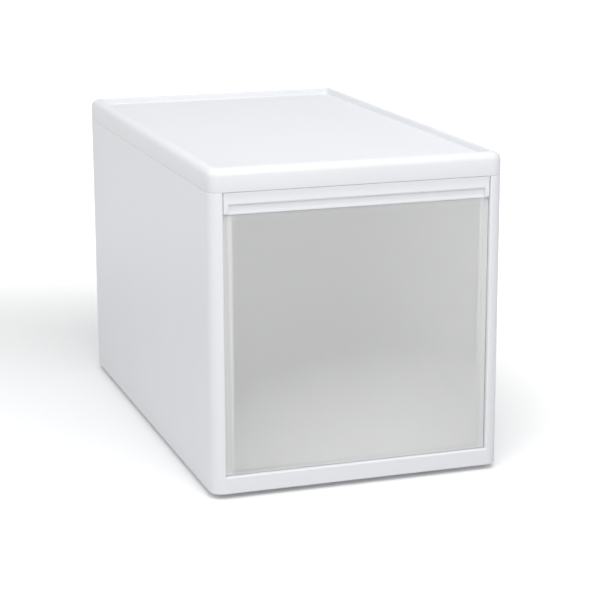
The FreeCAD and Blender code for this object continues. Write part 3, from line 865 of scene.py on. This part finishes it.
@dataclass
class FrostedTray:
    """The see-through drawer: a drafted tub, its wider front, a rolled rim and the step for the pull."""

    frosted: bpy.types.Material
    front_half: float = 115.2
    front_y: float = -211.5
    front_wall: float = 2.5
    front_foot_z: float = 19.6
    rim_z: float = 237.6
    front_edge_round: Round = Round(0.7, 4)
    tub_half: float = 112.8
    tub_back_y: float = 200.0
    tub_foot_z: float = 21.1
    draft_step: float = 2.0
    wall: float = 2.2
    tub_lap: float = 0.4
    corner_radius: float = 5.0
    corner_facets: int = 8
    foot_radius: float = 4.0
    foot_facets: int = 6
    bead_height: float = 6.0
    bead_reach: float = 2.2
    bead_round: Round = Round(0.8, 4)
    shelf_lap: float = 0.8
    riser_y: float = -207.4
    riser_wall: float = 2.0
    riser_top_z: float = 250.6
    riser_corner_round: Round = Round(2.0, 5)
    ear_start_x: float = -107.8
    ear_width: float = 11.0
    ear_top_z: float = 244.6
    ear_round: Round = Round(2.5, 5)

    def drafted(self, name: str, inset: float, start_y: float, low_z: float, high_z: float,
                corner: float, foot: float) -> Workpiece:
        """A block with leaning sides and back and rounded rear corners.

        Args:
            name: Its name.
            inset: How far it is set in from the tub's outside.
            start_y: Its front.
            low_z: Its foot.
            high_z: Its top.
            corner: Radius of its rear corners.
            foot: Radius round its foot.

        Returns:
            The piece.
        """
        half, back_y = self.tub_half - inset, self.tub_back_y - inset
        block = Workpiece.block(name, (-half, start_y, low_z), (half, back_y, high_z))
        block.enter()
        block.move(lambda p: near(p.z, low_z) and p.x < 0, (self.draft_step, 0, 0))
        block.move(lambda p: near(p.z, low_z) and p.x > 0, (-self.draft_step, 0, 0))
        block.move(lambda p: near(p.z, low_z) and p.y > 0, (0, -self.draft_step, 0))
        block.round(Round(corner, self.corner_facets), lambda p, way: runs(way, Axis.Z) and p.y > 0)
        block.round(Round(foot, self.foot_facets), lambda p, way: near(p.z, low_z) and p.y > start_y + STEP)
        block.leave()
        return block

    def make_tub(self) -> Workpiece:
        """The tub with its rim bead, hollowed out.

        Returns:
            The piece.
        """
        inner_y = self.front_y + self.front_wall
        tub = self.drafted("frosted_tray", 0, self.front_y + self.tub_lap, self.tub_foot_z, self.rim_z,
                           self.corner_radius, self.foot_radius)
        bead = Workpiece.block(
            "bead", (-self.tub_half - self.bead_reach, inner_y, self.rim_z - self.bead_height),
            (self.tub_half + self.bead_reach, self.tub_back_y + self.bead_reach, self.rim_z))
        bead.enter()
        bead.round(Round(self.corner_radius + self.bead_reach, self.corner_facets),
                   lambda p, way: runs(way, Axis.Z) and p.y > 0)
        bead.round(self.bead_round, lambda p, way: not runs(way, Axis.Z) and p.y > inner_y + STEP)
        bead.leave()
        tub.combine(bead, Join.ADD)
        hollow = self.drafted("hollow", self.wall, inner_y, self.tub_foot_z + self.wall, self.rim_z + OVERRUN,
                              self.corner_radius - self.wall, self.foot_radius - self.wall)
        tub.combine(hollow, Join.CUT)
        return tub

    def make_front(self) -> Workpiece:
        """The drawer front with soft edges.

        Returns:
            The piece.
        """
        panel = Workpiece.block("front", (-self.front_half, self.front_y, self.front_foot_z),
                                (self.front_half, self.front_y + self.front_wall, self.rim_z))
        panel.enter()
        panel.round(self.front_edge_round, lambda p, way: near(p.y, self.front_y) and p.z < self.rim_z - STEP)
        panel.leave()
        return panel

    def make_step(self) -> list[Workpiece]:
        """The shelf that the pull sits on and the upright behind it.

        Returns:
            The pieces.
        """
        shelf_foot_z, back_y = self.rim_z - self.riser_wall, self.riser_y + self.riser_wall
        shelf = Workpiece.block("shelf", (-self.tub_half, self.front_y + self.shelf_lap, shelf_foot_z),
                                (self.tub_half, back_y, self.rim_z))
        riser = Workpiece.block("riser", (-self.tub_half, self.riser_y, shelf_foot_z),
                                (self.tub_half, back_y, self.riser_top_z))
        riser.enter()
        riser.round(self.riser_corner_round, lambda p, way: runs(way, Axis.Y) and p.z > self.rim_z)
        riser.leave()
        return [shelf, riser]

    def make_ear(self, side: int) -> Workpiece:
        """A lug that meets the drawer stop.

        Args:
            side: -1 for the left one, 1 for the right.

        Returns:
            The piece.
        """
        ends = sorted((side * self.ear_start_x, side * (self.ear_start_x + self.ear_width)))
        # The lug grows out of the middle of the rim bead.
        root_z = self.rim_z - self.bead_height / 2
        ear = Workpiece.block("ear", (ends[0], self.tub_back_y - self.wall, root_z),
                              (ends[1], self.tub_back_y, self.ear_top_z))
        ear.enter()
        ear.round(self.ear_round, lambda p, way: runs(way, Axis.Y) and near(p.z, self.ear_top_z))
        ear.leave()
        return ear

    def build(self) -> None:
        """Model the tray in place of its CAD node."""
        tray = self.make_tub()
        for addition in [self.make_front(), *self.make_step(), self.make_ear(-1), self.make_ear(1)]:
            tray.combine(addition, Join.ADD)
        hand_in(tray.finish(), "drawer_tray", Body.DRAWER, self.frosted)


@dataclass
class Studio:
    """Pale floor, soft light and the camera of the photograph."""

    camera_azimuth_deg: float = -18.43
    camera_elevation_deg: float = 13.94
    camera_distance_mm: float = 1789.6
    camera_roll_deg: float = -0.19
    aim_x_mm: float = 20.04
    aim_z_mm: float = 108.1
    focal_px: float = 1915.4
    image_px: float = 600.0
    sensor_mm: float = 36.0
    floor_size_mm: float = 9000.0
    floor_seen_colour: str = "#FAFAFA"
    floor_bounce_colour: str = "#CDCDCD"
    floor_lift: float = 0.09
    floor_far_lift: float = 0.6
    floor_calm_mm: float = 420.0
    floor_white_mm: float = 950.0
    floor_middle_x_mm: float = -350.0
    sky_left_strength: float = 0.85
    sky_right_strength: float = 0.31
    sky_colour: str = "#FDFEFF"
    lamp_power: float = 18.1
    lamp_size_mm: float = 1500.0
    lamp_distance_mm: float = 1700.0
    lamp_azimuth_deg: float = -8.0
    lamp_elevation_deg: float = 50.0

    def direction(self, azimuth_deg: float, elevation_deg: float) -> Vector:
        """The direction from the object towards a place seen at two angles.

        Args:
            azimuth_deg: 0 is in front of the object, positive to its right.
            elevation_deg: Height above the horizon.

        Returns:
            A unit vector.
        """
        azimuth, elevation = math.radians(azimuth_deg), math.radians(elevation_deg)
        return Vector((math.sin(azimuth) * math.cos(elevation),
                       -math.cos(azimuth) * math.cos(elevation), math.sin(elevation)))

    def add_camera(self) -> None:
        """Set the camera where the photograph was taken from."""
        data = bpy.data.cameras.new("photo_camera")
        data.sensor_width = self.sensor_mm
        data.lens = self.focal_px / self.image_px * self.sensor_mm
        camera = bpy.data.objects.new("photo_camera", data)
        bpy.context.collection.objects.link(camera)
        away = self.direction(self.camera_azimuth_deg, self.camera_elevation_deg)
        camera.location = Vector((self.aim_x_mm, 0, self.aim_z_mm)) * MM + away * self.camera_distance_mm * MM
        level = (-away).to_track_quat("-Z", "Y")
        roll = Quaternion((0, 0, 1), math.radians(self.camera_roll_deg))
        camera.rotation_euler = (level @ roll).to_euler()
        bpy.context.scene.camera = camera

    def seen_directly(self, tree: bpy.types.NodeTree) -> bpy.types.NodeSocket:
        """A socket that is 1 for camera, glossy and transmission rays, and 0 for the rest.

        Args:
            tree: The node tree that gets the nodes.

        Returns:
            The socket.
        """
        rays = add_node(tree, "ShaderNodeLightPath")
        mirrored = add_node(tree, "ShaderNodeMath", {"operation": "MAXIMUM"},
                            {0: rays.outputs["Is Glossy Ray"], 1: rays.outputs["Is Transmission Ray"]})
        seen = add_node(tree, "ShaderNodeMath", {"operation": "MAXIMUM"},
                        {0: rays.outputs["Is Camera Ray"], 1: mirrored.outputs[0]})
        return seen.outputs[0]

    def add_floor(self) -> None:
        """Lay the floor, which reads as white and keeps the shadow."""
        bpy.ops.object.select_all(action="DESELECT")
        bpy.ops.mesh.primitive_plane_add(size=self.floor_size_mm * MM)
        floor = bpy.context.object
        floor.name = "floor"
        material = new_material("white_paper_floor")
        tree = material.node_tree
        seen = self.seen_directly(tree)
        colour = add_node(tree, "ShaderNodeMix",
                          {"data_type": "RGBA", COLOUR_A: linear_colour(self.floor_bounce_colour),
                           COLOUR_B: linear_colour(self.floor_seen_colour)}, {0: seen})
        paper = add_node(tree, "ShaderNodeBsdfDiffuse", links={"Color": colour.outputs[COLOUR_OUT]})
        # Away from the object the paper runs into the white background.
        place = add_node(tree, "ShaderNodeTexCoord").outputs["Object"]
        centred = add_node(tree, "ShaderNodeMapping",
                           {"Location": (-self.floor_middle_x_mm * MM, 0.0, 0.0)}, {"Vector": place})
        reach = add_node(tree, "ShaderNodeVectorMath", {"operation": "LENGTH"},
                         {0: centred.outputs["Vector"]})
        rise = add_node(tree, "ShaderNodeMapRange",
                        {"interpolation_type": "SMOOTHSTEP", "From Min": self.floor_calm_mm * MM,
                         "From Max": self.floor_white_mm * MM, "To Min": self.floor_lift,
                         "To Max": self.floor_far_lift}, {"Value": reach.outputs["Value"]})
        lift = add_node(tree, "ShaderNodeMath", {"operation": "MULTIPLY"},
                        {0: seen, 1: rise.outputs["Result"]})
        glow = add_node(tree, "ShaderNodeEmission", links={"Strength": lift.outputs[0]})
        both = add_node(tree, "ShaderNodeAddShader", links={0: paper.outputs[0], 1: glow.outputs[0]})
        add_node(tree, "ShaderNodeOutputMaterial", links={"Surface": both.outputs[0]})
        dress(floor, material)

    def add_sky(self) -> None:
        """Light from all round, and white where the camera sees past the floor."""
        world = bpy.data.worlds.new("studio")
        bpy.context.scene.world = world
        world.use_nodes = True
        tree = world.node_tree
        tree.nodes.clear()
        # The studio is darker on the object's right, which draws its right edge against the white.
        way = add_node(tree, "ShaderNodeTexCoord").outputs["Generated"]
        rightwards = add_node(tree, "ShaderNodeSeparateXYZ", links={0: way}).outputs["X"]
        light = add_node(tree, "ShaderNodeMapRange",
                         {"From Min": -1.0, "From Max": 1.0, "To Min": self.sky_left_strength,
                          "To Max": self.sky_right_strength},
                         {"Value": rightwards})
        strength = add_node(tree, "ShaderNodeMix", {"data_type": "FLOAT", NUMBER_B: 1.0},
                            {0: self.seen_directly(tree), NUMBER_A: light.outputs["Result"]})
        sky = add_node(tree, "ShaderNodeBackground", {"Color": linear_colour(self.sky_colour)},
                       {"Strength": strength.outputs[0]})
        add_node(tree, "ShaderNodeOutputWorld", links={"Surface": sky.outputs[0]})

    def add_lamp(self) -> None:
        """One large soft box in front, above and a little to the left."""
        data = bpy.data.lights.new("soft_box", "AREA")
        data.shape = "SQUARE"
        data.size = self.lamp_size_mm * MM
        data.energy = self.lamp_power
        lamp = bpy.data.objects.new("soft_box", data)
        bpy.context.collection.objects.link(lamp)
        away = self.direction(self.lamp_azimuth_deg, self.lamp_elevation_deg)
        lamp.location = Vector((0, 0, self.aim_z_mm)) * MM + away * self.lamp_distance_mm * MM
        lamp.rotation_euler = (-away).to_track_quat("-Z", "Y").to_euler()

    def build(self) -> None:
        """Set up the whole studio."""
        self.add_camera()
        self.add_floor()
        self.add_sky()
        self.add_lamp()
        bpy.context.scene.view_settings.view_transform = "Standard"
        log.info("studio is set")


def main() -> None:
    """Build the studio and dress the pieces."""
    logging.basicConfig(level=logging.INFO)
    white = MouldedPolypropylene().make()
    frosted = FrostedPolypropylene().make()
    Studio().build()
    CaseShell(white).build()
    LidCover(white).build()
    FingerPull(white).build()
    FrostedTray(frosted).build()


if __name__ == "__main__":
    main()
